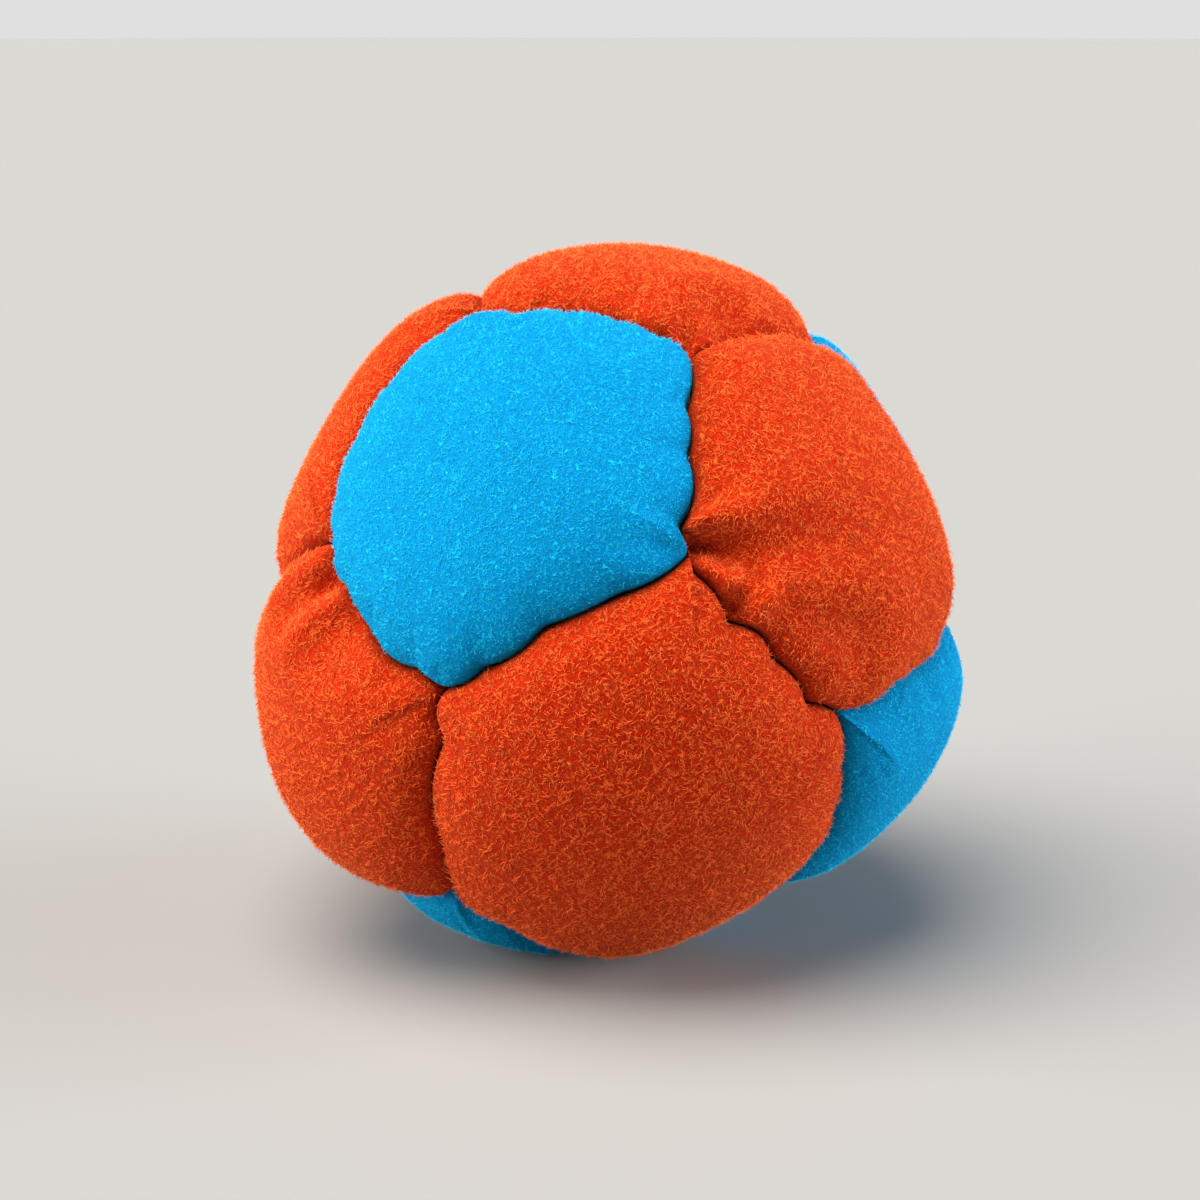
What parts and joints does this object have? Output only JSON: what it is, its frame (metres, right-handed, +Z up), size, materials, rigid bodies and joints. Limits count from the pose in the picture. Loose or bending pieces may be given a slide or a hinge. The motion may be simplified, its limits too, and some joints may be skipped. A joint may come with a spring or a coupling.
{
  "type": "juggling ball",
  "caption": "Soft, grain-filled juggling ball hand-sewn from five-sided suede panels in two colours, with puckered sunken seams, resting on a slightly flattened underside.",
  "frame": {"origin": "on the surface the ball stands on, under the middle of the ball's extent", "axes": "+Z up, +Y away from the side that shows the leading blue panel upper left, +X to the right of that view"},
  "size_m": [0.059, 0.0596, 0.0586],
  "materials": {
    "suede_blue": "matte",
    "suede_orange": "matte",
    "sewing_thread": "matte",
    "grains": "satin"
  },
  "bodies": {
    "root": {"closing_knot": "sewing_thread", "grain_fill": "grains", "panel_base": "suede_blue", "panel_front": "suede_blue", "panel_left_back": "suede_orange", "panel_lower_back": "suede_blue", "panel_lower_front": "suede_orange", "panel_lower_left": "suede_orange", "panel_lower_right": "suede_blue", "panel_right": "suede_orange", "panel_right_back": "suede_blue", "panel_top": "suede_orange", "panel_upper_back": "suede_blue", "panel_upper_left": "suede_orange", "starting_knot": "sewing_thread", "thread_base-left_back": "sewing_thread", "thread_base-lower_back": "sewing_thread", "thread_front-lower_front": "sewing_thread", "thread_front-lower_left": "sewing_thread", "thread_front-right": "sewing_thread", "thread_front-top": "sewing_thread", "thread_front-upper_left": "sewing_thread", "thread_left_back-lower_back": "sewing_thread", "thread_lower_front-base": "sewing_thread", "thread_lower_front-lower_left": "sewing_thread", "thread_lower_front-lower_right": "sewing_thread", "thread_lower_left-base": "sewing_thread", "thread_lower_left-left_back": "sewing_thread", "thread_lower_left-upper_left": "sewing_thread", "thread_lower_right-base": "sewing_thread", "thread_lower_right-lower_back": "sewing_thread", "thread_right-lower_front": "sewing_thread", "thread_right-lower_right": "sewing_thread", "thread_right-right_back": "sewing_thread", "thread_right_back-lower_back": "sewing_thread", "thread_right_back-lower_right": "sewing_thread", "thread_top-right": "sewing_thread", "thread_top-right_back": "sewing_thread", "thread_top-upper_back": "sewing_thread", "thread_top-upper_left": "sewing_thread", "thread_upper_back-left_back": "sewing_thread", "thread_upper_back-lower_back": "sewing_thread", "thread_upper_back-right_back": "sewing_thread", "thread_upper_left-left_back": "sewing_thread", "thread_upper_left-upper_back": "sewing_thread"}
  },
  "joints": []
}
